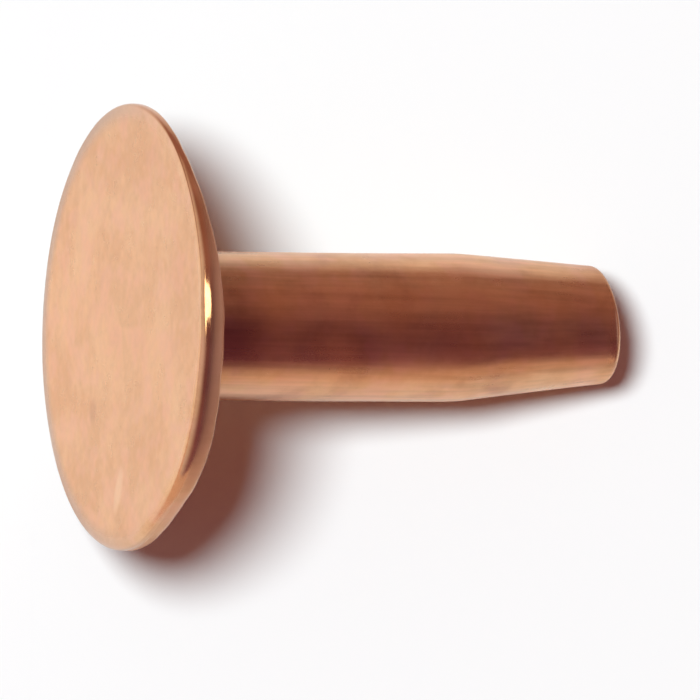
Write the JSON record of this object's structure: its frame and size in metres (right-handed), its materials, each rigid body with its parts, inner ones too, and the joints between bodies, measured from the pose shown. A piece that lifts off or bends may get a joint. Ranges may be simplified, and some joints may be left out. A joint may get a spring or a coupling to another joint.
{
  "type": "belt rivet",
  "caption": "Solid copper rivet with a broad flat head, tapered underside and pointed shank, for joining leather or belting over a burr.",
  "frame": {"origin": "centre of the flat outer face of the head, on the surface that the rivet stands on", "axes": "+Z along the shank, from the head towards the tapered point"},
  "size_m": [0.0112, 0.0112, 0.0129],
  "materials": {
    "copper": "satin, lightly tarnished bare copper"
  },
  "bodies": {
    "root": {"rivet": "copper"}
  },
  "joints": []
}
